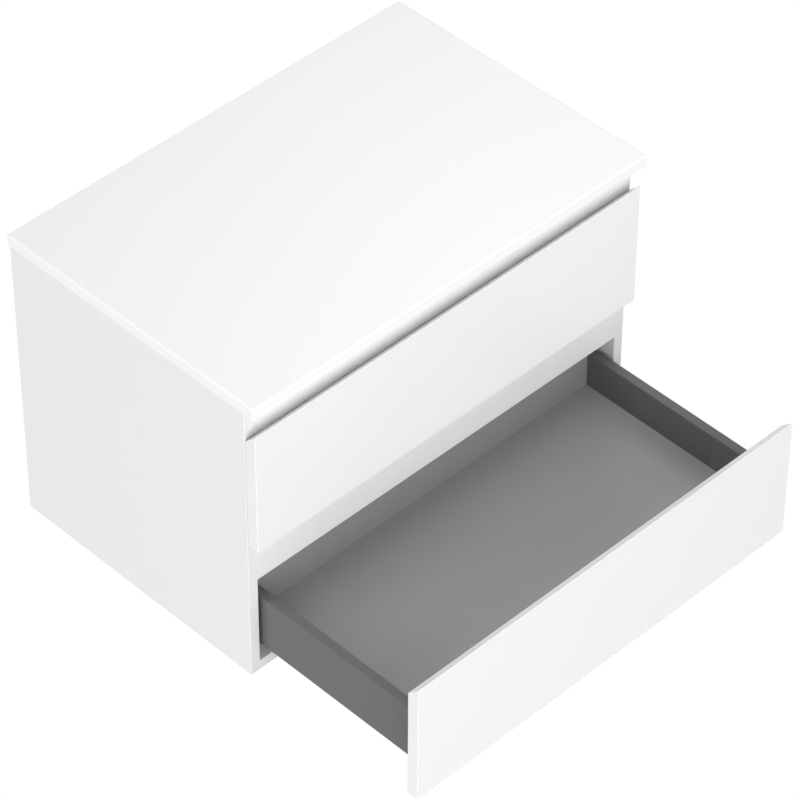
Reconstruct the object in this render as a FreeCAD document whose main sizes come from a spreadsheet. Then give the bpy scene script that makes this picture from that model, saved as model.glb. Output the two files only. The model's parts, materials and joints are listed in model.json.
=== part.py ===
import FreeCAD, Part
import os
import Sketcher
from types import SimpleNamespace

# Wall-hung bathroom vanity cabinet with two handleless drawers.
# Frame: X to the right, Y towards the wall, Z up. The origin lies on the wall plane,
# at mid-width, level with the underside of the carcass. The lower drawer stands open.

# Driving sizes in millimetres: name, value, meaning
SIZES = (
    ("carcass_width", 800, "outside width over both side panels"),
    ("carcass_height", 540, "underside of the carcass to the underside of the worktop"),
    ("board_thickness", 18, "coated carcass boards"),
    ("board_edge_radius", 1, "eased front edges of the boards"),
    ("joint_ease", 0.8, "eased ends of the cross boards at their joints"),
    ("worktop_thickness", 22, "top slab"),
    ("worktop_side_overhang", 5, "slab beyond each side panel"),
    ("worktop_nose", 5, "slab in front of the drawer fronts"),
    ("worktop_corner_radius", 4, "rounded upright corners of the slab"),
    ("worktop_edge_radius", 3, "rounded upper and lower edges of the slab"),
    ("top_rail_headroom", 23, "upper drawer sides to the front rail under the worktop"),
    ("middle_rail_headroom", 42, "lower drawer sides to the front rail between the drawers"),
    ("middle_rail_rise", 19, "lower edge of the upper front to the top of that rail"),
    ("upper_rear_rail_height", 100, "rear rail below the hangers"),
    ("lower_rear_rail_height", 80, "rear rail on the bottom panel"),
    ("rear_rail_recess", 22, "wall plane to the rear rails, room for the wall plates"),
    ("hanger_bay_height", 75, "open height between the upper rear rail and the worktop"),
    ("front_thickness", 21, "drawer fronts"),
    ("front_gap", 0.4, "air between a closed front and the carcass"),
    ("front_side_reveal", 0.8, "front set in from the outside of each side panel"),
    ("front_bottom_reveal", 2, "lower front above the underside of the carcass"),
    ("grip_gap", 38, "finger gap above each front"),
    ("front_bevel_drop", 20, "height lost by the sloping top edge from face to back"),
    ("front_edge_radius", 1.2, "rounded edges of the fronts"),
    ("front_crest_radius", 0.4, "sharper upper edge of the fronts, above the finger grip"),
    ("drawer_extension", 332, "how far the lower drawer stands open"),
    ("drawer_side_clearance", 6, "carcass board to drawer side"),
    ("drawer_side_thickness", 16.5, "outside of the double steel wall"),
    ("drawer_side_height", 100, "lower edge to top edge of a drawer side"),
    ("drawer_side_lift", 46, "lower edge of a front to lower edge of a drawer side"),
    ("drawer_side_shortfall", 10, "drawer side shorter than the cabinet rail"),
    ("drawer_sheet", 1, "steel sheet of the drawer sides"),
    ("drawer_fold_radius", 1.5, "outer radius of the folded top edge"),
    ("drawer_lip", 5, "returned lower edge of the outer wall"),
    ("base_seat_height", 18, "lower edge of a drawer side to the underside of the base"),
    ("base_flange_width", 56, "flange of the drawer side under the base"),
    ("base_thickness", 16, "drawer base board"),
    ("base_clearance", 0.2, "base and back boards to the inner wall"),
    ("back_thickness", 16, "drawer back board"),
    ("back_setback", 7, "drawer back board in front of the rear end of the sides"),
    ("cap_length", 56, "bare cover cap on the inner wall, along the drawer"),
    ("cap_height", 48, "cover cap, upright"),
    ("cap_thickness", 0.8, "cover cap in front of the wall"),
    ("cap_setback", 46, "front to cover cap"),
    ("cap_lift", 1, "base to cover cap"),
    ("cap_corner_radius", 1.5, "rounded corners of the cover cap"),
    ("cap_edge_radius", 0.4, "rounded edges of its face"),
    ("cap_rim", 1.5, "overlap of the cap around its window"),
    ("cap_clearance", 0.2, "cap plug to window"),
    ("bracket_sheet", 2, "steel of the brackets"),
    ("bracket_clearance", 0.3, "front bracket to the walls around it"),
    ("front_bracket_arm", 88, "front bracket along the drawer side"),
    ("back_bracket_width", 36, "back bracket across the back board"),
    ("back_bracket_margin", 4, "back bracket below the top and above the foot of the back"),
    ("runner_sheet", 1.5, "steel of the runner rails"),
    ("runner_width", 40, "outside width of the runner channels"),
    ("runner_wall_gap", 2, "inner wall of the drawer side to the runner channels"),
    ("runner_length", 400, "cabinet rail"),
    ("runner_setback", 20, "front edge of the carcass to the cabinet rail"),
    ("rear_space", 87, "rear end of the cabinet rail to the wall plane, room for pipes"),
    ("runner_flange_height", 24, "flange of the cabinet rail on the side panel"),
    ("runner_lip", 6.5, "inward lips that hold the middle rail"),
    ("runner_play", 0.5, "middle rail to lips and walls"),
    ("beam_height", 15, "middle rail"),
    ("beam_web", 3, "web of the middle rail"),
    ("beam_setback", 2, "front of the cabinet rail to the closed middle rail"),
    ("beam_rear_gap", 18, "rear end of the closed middle rail to that of the cabinet rail"),
    ("drawer_rail_setback", 8, "front to the rail under the drawer base"),
    ("drawer_rail_rear_gap", 4, "rear end of that rail to that of the drawer side"),
    ("roller_diameter", 5, "runner rollers"),
    ("roller_length", 24, "runner rollers"),
    ("roller_pitch", 22, "spacing of the rollers"),
    ("roller_play", 0.15, "roller to each rail"),
    ("roller_window_play", 0.3, "roller to its window in the cage"),
    ("cage_length", 120, "roller cage"),
    ("cage_thickness", 2, "roller cage"),
    ("outer_cage_place", 117, "front of the cabinet rail to the closed outer cage"),
    ("inner_cage_place", 122, "front of the cabinet rail to the closed inner cage"),
    ("screw_diameter", 3.5, "shank of the panel screws"),
    ("screw_length", 14, "panel screw under its head"),
    ("screw_head_diameter", 7, "panel screw"),
    ("screw_head_height", 1.8, "panel screw"),
    ("screw_clearance", 0.1, "screw to its bore, all round"),
    ("runner_screw_inset", 40, "ends of the cabinet rail to the outer screws"),
    ("runner_screw_lift", 16, "foot of the cabinet rail to its screws"),
    ("bracket_screw_inset", 11, "ends of the drawer brackets to their screws"),
    ("base_screw_inset", 6, "edge of the base flange to its screws"),
    ("base_screw_front", 60, "front to the first base screw"),
    ("base_screw_rear", 80, "rear end of the drawer side to the second base screw"),
    ("dowel_diameter", 8, "glued dowels of the board joints"),
    ("dowel_length", 34, "dowel"),
    ("dowel_side_depth", 13, "dowel in the side panel"),
    ("dowel_clearance", 0.1, "dowel to its bore, all round"),
    ("dowel_end_gap", 0.5, "dowel to the end of its bore"),
    ("bottom_dowel_inset", 60, "edges of the bottom panel to its outer dowels"),
    ("rail_dowel_inset", 22, "edges of a rail to its dowels"),
    ("hanger_thickness", 18, "hanger housing"),
    ("hanger_depth", 62, "hanger housing along the side panel"),
    ("hanger_height", 62, "hanger housing"),
    ("hanger_wall_gap", 14, "wall plane to the hanger housing"),
    ("hanger_top_gap", 6, "worktop to the hanger housing"),
    ("hanger_tab", 16, "screw tab in front of the housing"),
    ("hanger_edge_radius", 2, "rounded edges of the housing"),
    ("hook_thickness", 3, "steel hook"),
    ("hook_arm_height", 16, "arm of the hook"),
    ("hook_arm_length", 40, "arm of the hook inside the housing"),
    ("hook_arm_drop", 14, "top of the housing to the arm"),
    ("hook_nose_height", 30, "nose of the hook"),
    ("hook_nose_width", 5, "nose of the hook"),
    ("hook_wall_gap", 3, "wall plane to the nose"),
    ("hook_clearance", 0.3, "hook to the slot in its housing"),
    ("angle_leg", 30, "worktop angle, each leg"),
    ("angle_width", 24, "worktop angle"),
    ("angle_front_inset", 77, "front edge of the carcass to the front angles"),
    ("angle_rear_inset", 150, "wall plane to the rear angles"),
    ("angle_screw_inset", 9, "end of an angle's leg to its screw"),
)

ROLLERS_IN_A_CAGE = 5
MIDDLE_RAIL_SHARE = 0.5
OUTER_CAGE_SHARE = 0.25
INNER_CAGE_SHARE = 0.75
TOUCHING = 0.01
LEFT = -1
RIGHT = 1
ALONG_X = FreeCAD.Rotation(FreeCAD.Vector(0, 1, 0), 90)
ALONG_MINUS_X = FreeCAD.Rotation(FreeCAD.Vector(0, 1, 0), -90)
ALONG_MINUS_Y = FreeCAD.Rotation(FreeCAD.Vector(1, 0, 0), 90)
ALONG_Z = FreeCAD.Rotation()

document = FreeCAD.newDocument("vanity_cabinet")
sheet = document.addObject("Spreadsheet::Sheet", "Sizes")
nodes = []


class Size:
    """A length together with the sheet formula that it comes from."""

    def __init__(self, value, formula):
        self.value = value
        self.formula = formula

    def __add__(self, other):
        other = as_size(other)
        return Size(self.value + other.value, f"({self.formula} + {other.formula})")

    def __sub__(self, other):
        other = as_size(other)
        return Size(self.value - other.value, f"({self.formula} - {other.formula})")

    def __mul__(self, factor):
        return Size(self.value * factor, f"({self.formula} * ({factor}))")

    def __truediv__(self, divisor):
        return Size(self.value / divisor, f"({self.formula} / {divisor})")

    def __neg__(self):
        return self * -1

    __rmul__ = __mul__


def as_size(number):
    return number if isinstance(number, Size) else Size(number, str(number))


def fill_sheet():
    """Write the driving sizes to the sheet and return them by name."""
    for row, (name, value, meaning) in enumerate(SIZES, start=1):
        sheet.set(f"A{row}", name)
        sheet.set(f"B{row}", str(value))
        sheet.setAlias(f"B{row}", name)
        sheet.set(f"C{row}", meaning)
    document.recompute()
    return SimpleNamespace(**{name: Size(value, f"Sizes.{name}") for name, value, meaning in SIZES})


def bind(thing, attribute, size):
    thing.setExpression(attribute, as_size(size).formula)


def place(thing, x, y, z):
    bind(thing, "Placement.Base.x", x)
    bind(thing, "Placement.Base.y", y)
    bind(thing, "Placement.Base.z", z)


def new_body(label):
    body = document.addObject("PartDesign::Body", label)
    body.Label = label
    nodes.append(body)
    return body


def origin_plane(body, role):
    return [feature for feature in body.Origin.OriginFeatures if feature.Role == role][0]


def new_sketch(body, plane, level):
    """A sketch on the plane's level; the XZ plane faces -Y, so its offset is turned round."""
    sketch = body.newObject("Sketcher::SketchObject", body.Name + "_sketch")
    sketch.AttachmentSupport = [(origin_plane(body, plane), "")]
    sketch.MapMode = "FlatFace"
    bind(sketch, "AttachmentOffset.Base.z", -level if plane == "XZ_Plane" else level)
    return sketch


def fix_point(sketch, geometry, point, across, up):
    for kind, size in (("DistanceX", as_size(across)), ("DistanceY", as_size(up))):
        constraint = Sketcher.Constraint(kind, -1, 1, geometry, point, size.value)
        index = sketch.addConstraint(constraint)
        sketch.setExpression(f"Constraints[{index}]", size.formula)


def draw_outline(sketch, corners):
    spots = [FreeCAD.Vector(as_size(across).value, as_size(up).value, 0) for across, up in corners]
    count = len(corners)
    for index in range(count):
        sketch.addGeometry(Part.LineSegment(spots[index], spots[(index + 1) % count]))
    for index in range(count):
        sketch.addConstraint(Sketcher.Constraint("Coincident", index, 2, (index + 1) % count, 1))
    for index, (across, up) in enumerate(corners):
        fix_point(sketch, index, 1, across, up)


def draw_circles(sketch, centres, radius):
    for across, up in centres:
        middle = FreeCAD.Vector(across.value, up.value, 0)
        index = sketch.addGeometry(Part.Circle(middle, FreeCAD.Vector(0, 0, 1), radius.value))
        fix_point(sketch, index, 3, across, up)
        constraint = sketch.addConstraint(Sketcher.Constraint("Radius", index, radius.value))
        sketch.setExpression(f"Constraints[{constraint}]", radius.formula)


def extrude(body, plane, start, end, corners):
    """Pad an outline from one level of the plane's axis up to another."""
    sketch = new_sketch(body, plane, as_size(start))
    draw_outline(sketch, corners)
    pad = body.newObject("PartDesign::Pad", body.Name + "_pad")
    pad.Profile = sketch
    pad.Reversed = plane == "XZ_Plane"
    bind(pad, "Length", as_size(end) - start)
    return pad


def sunk(body, sketch, plane, depth, forward):
    """Pocket a sketch, along the positive axis of its plane when forward is true."""
    pocket = body.newObject("PartDesign::Pocket", body.Name + "_pocket")
    pocket.Profile = sketch
    pocket.Reversed = forward != (plane == "XZ_Plane")
    bind(pocket, "Length", depth)
    return pocket


def bore(body, plane, level, centres, radius, depth, forward):
    sketch = new_sketch(body, plane, level)
    draw_circles(sketch, centres, radius)
    return sunk(body, sketch, plane, depth, forward)


def cut_window(body, plane, level, corners, depth, forward):
    sketch = new_sketch(body, plane, level)
    draw_outline(sketch, corners)
    return sunk(body, sketch, plane, depth, forward)


def mirror_across_middle(body, feature):
    mirrored = body.newObject("PartDesign::Mirrored", body.Name + "_mirrored")
    mirrored.Originals = [feature]
    mirrored.MirrorPlane = (origin_plane(body, "YZ_Plane"), [""])
    body.Tip = mirrored


def round_edges(body, radius, chosen):
    """Fillet the edges whose bounding boxes the test chooses."""
    document.recompute()
    base = body.Tip
    edges = base.Shape.Edges
    names = [f"Edge{index}" for index, edge in enumerate(edges, start=1) if chosen(edge.BoundBox)]
    fillet = body.newObject("PartDesign::Fillet", body.Name + "_fillet")
    fillet.Base = (base, names)
    bind(fillet, "Radius", radius)


def runs_along(box, axis):
    """True for the bounding box of an edge that is straight along one axis."""
    lengths = {"X": box.XLength, "Y": box.YLength, "Z": box.ZLength}
    return all(length < TOUCHING for name, length in lengths.items() if name != axis)


def rectangle(low_across, low_up, high_across, high_up):
    return [(low_across, low_up), (high_across, low_up), (high_across, high_up), (low_across, high_up)]


def cylinder(name, radius, height, x, y, z, rotation):
    solid = document.addObject("Part::Cylinder", name)
    bind(solid, "Radius", radius)
    bind(solid, "Height", height)
    solid.Placement.Rotation = rotation
    place(solid, x, y, z)
    return solid


def block(name, low, high):
    solid = document.addObject("Part::Box", name)
    for attribute, start, end in zip(("Length", "Width", "Height"), low, high):
        bind(solid, attribute, as_size(end) - start)
    place(solid, *low)
    return solid


def group(label, solids):
    """Several separate solids that share one node."""
    compound = document.addObject("Part::Compound", label)
    compound.Label = label
    compound.Links = solids
    nodes.append(compound)
    return compound


def screw(name, x, y, z, rotation):
    """A panel screw whose head seats at the given point and whose shank follows the rotation."""
    shank = cylinder(name + "_shank", dim.screw_diameter / 2, dim.screw_length, 0, 0, 0, ALONG_Z)
    head = document.addObject("Part::Cone", name + "_head")
    bind(head, "Radius1", dim.screw_head_diameter / 4)
    bind(head, "Radius2", dim.screw_head_diameter / 2)
    bind(head, "Height", dim.screw_head_height)
    place(head, 0, 0, -dim.screw_head_height)
    whole = document.addObject("Part::Fuse", name)
    whole.Base = shank
    whole.Tool = head
    whole.Placement.Rotation = rotation
    place(whole, x, y, z)
    return whole


dim = fill_sheet()

# Places that several pieces share
half_width = dim.carcass_width / 2
inner_half = half_width - dim.board_thickness
carcass_depth = dim.runner_setback + dim.runner_length + dim.rear_space
front_edge = -carcass_depth
front_height = (dim.carcass_height - dim.front_bottom_reveal - dim.grip_gap * 2) / 2
front_half = half_width - dim.front_side_reveal
lower_lift = dim.front_bottom_reveal
upper_lift = lower_lift + front_height + dim.grip_gap
closed_front = front_edge - dim.front_gap
screw_bore = dim.screw_diameter / 2 + dim.screw_clearance
pilot_depth = dim.screw_length

# Drawer box, measured from the back of its front, mid-width and the front's lower edge
side_outer = inner_half - dim.drawer_side_clearance
side_inner = side_outer - dim.drawer_side_thickness
side_top = dim.drawer_side_lift + dim.drawer_side_height
side_length = dim.runner_length - dim.drawer_side_shortfall
base_bottom = dim.drawer_side_lift + dim.base_seat_height
base_top = base_bottom + dim.base_thickness
board_half = side_inner - dim.base_clearance
back_rear = side_length - dim.back_setback
back_front = back_rear - dim.back_thickness
base_screw_across = side_inner - dim.base_flange_width + dim.base_screw_inset

# Runner section, from the underside of the base flange downwards
channel_outer = side_inner - dim.runner_wall_gap
channel_inner = channel_outer - dim.runner_width
channel_middle = channel_outer - dim.runner_width / 2
lip_reach = dim.runner_sheet + dim.runner_lip
roller_space = dim.roller_diameter + dim.roller_play * 2
drawer_rail_top = base_bottom - dim.drawer_sheet
drawer_rail_roof = drawer_rail_top - dim.runner_sheet
beam_top = drawer_rail_roof - roller_space
beam_bottom = beam_top - dim.beam_height
channel_floor = beam_bottom - roller_space
channel_bottom = channel_floor - dim.runner_sheet
drawer_lip_top = beam_top - dim.runner_sheet - dim.runner_play
cabinet_lip_bottom = beam_bottom + dim.runner_sheet + dim.runner_play
runner_front = front_edge + dim.runner_setback
runner_screw_high = channel_bottom + dim.runner_screw_lift

# Cover cap and front bracket share the height of the cap's window
cap_bottom = base_top + dim.cap_lift
cap_top = cap_bottom + dim.cap_height
cap_rear = dim.cap_setback + dim.cap_length
bracket_inner = side_inner + dim.drawer_sheet + dim.bracket_clearance
bracket_outer = side_outer - dim.drawer_sheet - dim.bracket_clearance
bracket_middle = (bracket_inner + bracket_outer) / 2
front_screw_heights = (cap_bottom + dim.bracket_screw_inset, cap_top - dim.bracket_screw_inset)
back_bracket_low = base_top + dim.back_bracket_margin
back_bracket_high = side_top - dim.back_bracket_margin
back_screw_heights = (
    back_bracket_low + dim.bracket_screw_inset,
    back_bracket_high - dim.bracket_screw_inset,
)
back_screw_across = side_inner - dim.back_bracket_width + dim.bracket_screw_inset
base_screw_places = (dim.base_screw_front, side_length - dim.base_screw_rear)

# Wall hangers in the upper rear corners, and the angles under the worktop
hanger_rear = -dim.hanger_wall_gap
hanger_front = hanger_rear - dim.hanger_depth
hanger_high = dim.carcass_height - dim.hanger_top_gap
hanger_low = hanger_high - dim.hanger_height
tab_middle = hanger_front - dim.hanger_tab / 2
hanger_screw_heights = (
    hanger_low + dim.bracket_screw_inset,
    hanger_high - dim.bracket_screw_inset,
)
angle_places = (front_edge + dim.angle_front_inset, -dim.angle_rear_inset)
angle_screw_low = dim.carcass_height - dim.angle_leg + dim.angle_screw_inset
angle_screw_across = inner_half - dim.angle_leg + dim.angle_screw_inset
runner_screw_places = (
    runner_front + dim.runner_screw_inset,
    runner_front + dim.runner_length / 2,
    runner_front + dim.runner_length - dim.runner_screw_inset,
)


def sided(hand, near, far):
    """Start and end along X of a stretch that lies between two distances from mid-width."""
    return (near, far) if hand == RIGHT else (-far, -near)


def cross_boards():
    """The boards between the side panels: their front, back, foot and head."""
    rail_front = front_edge
    rail_back = front_edge + dim.board_thickness
    rear_front = -dim.rear_rail_recess - dim.board_thickness
    rear_back = -dim.rear_rail_recess
    top_low = upper_lift + side_top + dim.top_rail_headroom
    middle_low = lower_lift + side_top + dim.middle_rail_headroom
    middle_high = upper_lift + dim.middle_rail_rise
    upper_rear_high = dim.carcass_height - dim.hanger_bay_height
    lower_rear_high = dim.board_thickness + dim.lower_rear_rail_height
    return {
        "bottom_panel": (front_edge, as_size(0), as_size(0), dim.board_thickness),
        "top_front_rail": (rail_front, rail_back, top_low, dim.carcass_height),
        "middle_front_rail": (rail_front, rail_back, middle_low, middle_high),
        "upper_rear_rail": (
            rear_front,
            rear_back,
            upper_rear_high - dim.upper_rear_rail_height,
            upper_rear_high,
        ),
        "lower_rear_rail": (rear_front, rear_back, dim.board_thickness, lower_rear_high),
    }


def dowel_centres(label, front, back, foot, head):
    """Dowels in the end of a cross board: three along the bottom panel, two up each rail."""
    if label == "bottom_panel":
        ends = (front + dim.bottom_dowel_inset, back - dim.bottom_dowel_inset)
        height = (foot + head) / 2
        return [(ends[0], height), ((front + back) / 2, height), (ends[1], height)]
    depth = (front + back) / 2
    return [(depth, foot + dim.rail_dowel_inset), (depth, head - dim.rail_dowel_inset)]


def make_worktop():
    body = new_body("worktop")
    reach = half_width + dim.worktop_side_overhang
    nose = closed_front - dim.front_thickness - dim.worktop_nose
    top = dim.carcass_height + dim.worktop_thickness
    extrude(body, "XY_Plane", dim.carcass_height, top, rectangle(-reach, nose, reach, 0))
    round_edges(body, dim.worktop_corner_radius, lambda box: runs_along(box, "Z"))
    round_edges(body, dim.worktop_edge_radius, lambda box: box.ZLength < TOUCHING)
    centres = [(hand * angle_screw_across, y) for hand in (LEFT, RIGHT) for y in angle_places]
    bore(body, "XY_Plane", dim.carcass_height, centres, screw_bore, pilot_depth, True)


def make_side_panel(hand, label, centres):
    """A side panel with blind bores in its inner face for dowels and screws."""
    body = new_body(label)
    start, end = sided(hand, inner_half, half_width)
    inner_face = hand * inner_half
    extrude(body, "YZ_Plane", start, end, rectangle(front_edge, 0, 0, dim.carcass_height))
    front = front_edge.value
    at_front = lambda box: runs_along(box, "Z") and abs(box.YMax - front) < TOUCHING
    round_edges(body, dim.board_edge_radius, at_front)
    dowel_bore = dim.dowel_diameter / 2 + dim.dowel_clearance
    dowel_depth = dim.dowel_side_depth + dim.dowel_end_gap
    bore(body, "YZ_Plane", inner_face, centres, dowel_bore, dowel_depth, hand == RIGHT)
    screws = [(y, lower_lift + runner_screw_high) for y in runner_screw_places]
    screws += [(y, upper_lift + runner_screw_high) for y in runner_screw_places]
    screws += [(tab_middle, height) for height in hanger_screw_heights]
    screws += [(y, angle_screw_low) for y in angle_places]
    bore(body, "YZ_Plane", inner_face, screws, screw_bore, pilot_depth, hand == RIGHT)


def make_cross_board(label, front, back, foot, head):
    body = new_body(label)
    extrude(body, "YZ_Plane", -inner_half, inner_half, rectangle(front, foot, back, head))
    face = front.value
    at_face = lambda box: runs_along(box, "X") and abs(box.YMax - face) < TOUCHING
    round_edges(body, dim.board_edge_radius, at_face)
    at_joint = lambda box: runs_along(box, "Z") and abs(box.YMax - face) < TOUCHING
    round_edges(body, dim.joint_ease, at_joint)
    radius = dim.dowel_diameter / 2 + dim.dowel_clearance
    depth = dim.dowel_length - dim.dowel_side_depth + dim.dowel_end_gap
    centres = dowel_centres(label, front, back, foot, head)
    end_bores = bore(body, "YZ_Plane", inner_half, centres, radius, depth, False)
    mirror_across_middle(body, end_bores)


def make_dowels(centres):
    solids = []
    radius = dim.dowel_diameter / 2
    near = inner_half - dim.dowel_length + dim.dowel_side_depth
    for start in (-near - dim.dowel_length, near):
        for y, z in centres:
            solids.append(cylinder("dowel", radius, dim.dowel_length, start, y, z, ALONG_X))
    group("carcass_dowels", solids)


def make_carcass():
    make_worktop()
    centres = []
    for label, place_of_board in cross_boards().items():
        make_cross_board(label, *place_of_board)
        centres += dowel_centres(label, *place_of_board)
    make_side_panel(LEFT, "left_side_panel", centres)
    make_side_panel(RIGHT, "right_side_panel", centres)
    make_dowels(centres)


def make_worktop_angles():
    """Four steel angles that hold the worktop down on the side panels, and their screws."""
    angles = []
    screws = []
    steel = dim.bracket_sheet
    ceiling = dim.carcass_height
    roof = ceiling - steel
    leg_foot = ceiling - dim.angle_leg
    for hand in (LEFT, RIGHT):
        upright = sided(hand, inner_half - steel, inner_half)
        level = sided(hand, inner_half - dim.angle_leg, inner_half)
        across = hand * angle_screw_across
        for y in angle_places:
            low = y - dim.angle_width / 2
            high = y + dim.angle_width / 2
            legs = document.addObject("Part::Fuse", "angle_legs")
            legs.Base = block("angle_upright", (upright[0], low, leg_foot), (upright[1], high, ceiling))
            legs.Tool = block("angle_level", (level[0], low, roof), (level[1], high, ceiling))
            legs.Refine = True
            holes = document.addObject("Part::MultiFuse", "angle_holes")
            holes.Shapes = [
                cylinder("angle_hole", screw_bore, steel, upright[0], y, angle_screw_low, ALONG_X),
                cylinder("angle_hole", screw_bore, steel, across, y, roof, ALONG_Z),
            ]
            angle = document.addObject("Part::Cut", "worktop_angle")
            angle.Base = legs
            angle.Tool = holes
            angles.append(angle)
            seat = hand * (inner_half - steel)
            outward = ALONG_X if hand == RIGHT else ALONG_MINUS_X
            screws.append(screw("angle_screw", seat, y, angle_screw_low, outward))
            screws.append(screw("angle_screw", across, y, roof, ALONG_Z))
    group("worktop_angles", angles)
    group("worktop_angle_screws", screws)


def make_hanger(hand, side):
    """A wall hanger: housing with a screw tab, and a steel hook in its slot."""
    body = new_body(f"{side}_hanger_housing")
    near = inner_half - dim.hanger_thickness
    middle = inner_half - dim.hanger_thickness / 2
    start, end = sided(hand, near, inner_half)
    extrude(body, "YZ_Plane", start, end, rectangle(hanger_front, hanger_low, hanger_rear, hanger_high))
    round_edges(body, dim.hanger_edge_radius, lambda box: runs_along(box, "X"))
    tab_start, tab_end = sided(hand, inner_half - dim.bracket_sheet, inner_half)
    tab_front = hanger_front - dim.hanger_tab
    tab = rectangle(tab_front, hanger_low, hanger_front + dim.hanger_edge_radius, hanger_high)
    extrude(body, "YZ_Plane", tab_start, tab_end, tab)
    arm_high = hanger_high - dim.hook_arm_drop
    arm_low = arm_high - dim.hook_arm_height
    arm_front = hanger_rear - dim.hook_arm_length
    slot_half = dim.hook_thickness / 2 + dim.hook_clearance
    slot_low = hand * middle - slot_half
    slot_high = hand * middle + slot_half
    slot = rectangle(slot_low, arm_low - dim.hook_clearance, slot_high, arm_high + dim.hook_clearance)
    cut_window(body, "XZ_Plane", hanger_rear, slot, dim.hook_arm_length + dim.hook_clearance, False)
    centres = [(tab_middle, height) for height in hanger_screw_heights]
    bore(body, "YZ_Plane", hand * inner_half, centres, screw_bore, dim.bracket_sheet, hand == LEFT)
    hook = new_body(f"{side}_hanger_hook")
    nose_rear = as_size(0) - dim.hook_wall_gap
    nose_front = nose_rear - dim.hook_nose_width
    nose_low = arm_high - dim.hook_nose_height
    outline = [
        (arm_front, arm_low),
        (nose_front, arm_low),
        (nose_front, nose_low),
        (nose_rear, nose_low),
        (nose_rear, arm_high),
        (arm_front, arm_high),
    ]
    plate_low = hand * middle - dim.hook_thickness / 2
    extrude(hook, "YZ_Plane", plate_low, plate_low + dim.hook_thickness, outline)
    outward = ALONG_X if hand == RIGHT else ALONG_MINUS_X
    seat = hand * (inner_half - dim.bracket_sheet)
    return [screw("hanger_screw", seat, tab_middle, height, outward) for height in hanger_screw_heights]


def make_cabinet_rail(hand, level, side, lift):
    """The fixed runner rail: a flange on the side panel and an open channel under the drawer."""
    body = new_body(f"{level}_{side}_cabinet_rail")
    flange_face = inner_half - dim.runner_sheet
    floor = lift + channel_floor
    foot = lift + channel_bottom
    flange_top = foot + dim.runner_flange_height
    lip_low = lift + cabinet_lip_bottom
    lip_high = lip_low + dim.runner_sheet
    outline = [
        (inner_half, foot),
        (inner_half, flange_top),
        (flange_face, flange_top),
        (flange_face, floor),
        (channel_outer, floor),
        (channel_outer, lip_high),
        (channel_outer - lip_reach, lip_high),
        (channel_outer - lip_reach, lip_low),
        (channel_outer - dim.runner_sheet, lip_low),
        (channel_outer - dim.runner_sheet, floor),
        (channel_inner + dim.runner_sheet, floor),
        (channel_inner + dim.runner_sheet, lip_low),
        (channel_inner + lip_reach, lip_low),
        (channel_inner + lip_reach, lip_high),
        (channel_inner, lip_high),
        (channel_inner, foot),
    ]
    runner_rear = runner_front + dim.runner_length
    extrude(body, "XZ_Plane", runner_front, runner_rear, [(hand * x, z) for x, z in outline])
    centres = [(y, lift + runner_screw_high) for y in runner_screw_places]
    bore(body, "YZ_Plane", hand * inner_half, centres, screw_bore, dim.runner_sheet, hand == LEFT)
    seat = hand * flange_face
    outward = ALONG_X if hand == RIGHT else ALONG_MINUS_X
    return [screw("runner_screw", seat, y, z, outward) for y, z in centres]


def make_middle_rail(hand, level, side, lift, extension):
    """The I-shaped rail between cabinet and drawer, which runs out half as far as the drawer."""
    body = new_body(f"{level}_{side}_middle_rail")
    flange = dim.runner_width / 2 - dim.runner_sheet - dim.runner_play
    web = dim.beam_web / 2
    neck_top = beam_top - dim.runner_sheet
    neck_bottom = beam_bottom + dim.runner_sheet
    half = [
        (flange, beam_top),
        (flange, neck_top),
        (web, neck_top),
        (web, neck_bottom),
        (flange, neck_bottom),
        (flange, beam_bottom),
    ]
    outline = [(channel_middle * hand + x, z) for x, z in half]
    outline += [(channel_middle * hand - x, z) for x, z in reversed(half)]
    length = dim.runner_length - dim.beam_setback - dim.beam_rear_gap
    extrude(body, "XZ_Plane", as_size(0), length, outline)
    place(body, 0, runner_front + dim.beam_setback - extension * MIDDLE_RAIL_SHARE, lift)


def make_roller_cages(label, lift, middle_height, front_place):
    """The left and right cage of one pair of rails, each a slotted strip with its rollers."""
    solids = []
    strip_half = dim.runner_width / 2 - dim.runner_sheet - dim.runner_play
    radius = dim.roller_diameter / 2
    reach = dim.roller_length / 2
    across = reach + dim.roller_window_play
    along = radius + dim.roller_window_play
    for hand in (LEFT, RIGHT):
        middle = hand * channel_middle
        low = (middle - strip_half, as_size(0), middle_height - dim.cage_thickness / 2)
        high = (middle + strip_half, dim.cage_length, middle_height + dim.cage_thickness / 2)
        windows = []
        for number in range(ROLLERS_IN_A_CAGE):
            from_middle = number - (ROLLERS_IN_A_CAGE - 1) / 2
            y = dim.cage_length / 2 + dim.roller_pitch * from_middle
            start = middle - reach
            solids.append(cylinder("roller", radius, dim.roller_length, start, y, middle_height, ALONG_X))
            window_low = (middle - across, y - along, middle_height - dim.cage_thickness)
            window_high = (middle + across, y + along, middle_height + dim.cage_thickness)
            windows.append(block("roller_window", window_low, window_high))
        openings = document.addObject("Part::MultiFuse", "roller_windows")
        openings.Shapes = windows
        strip = document.addObject("Part::Cut", "cage_strip")
        strip.Base = block("cage_blank", low, high)
        strip.Tool = openings
        solids.append(strip)
    place(group(label, solids), 0, front_place, lift)


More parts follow.
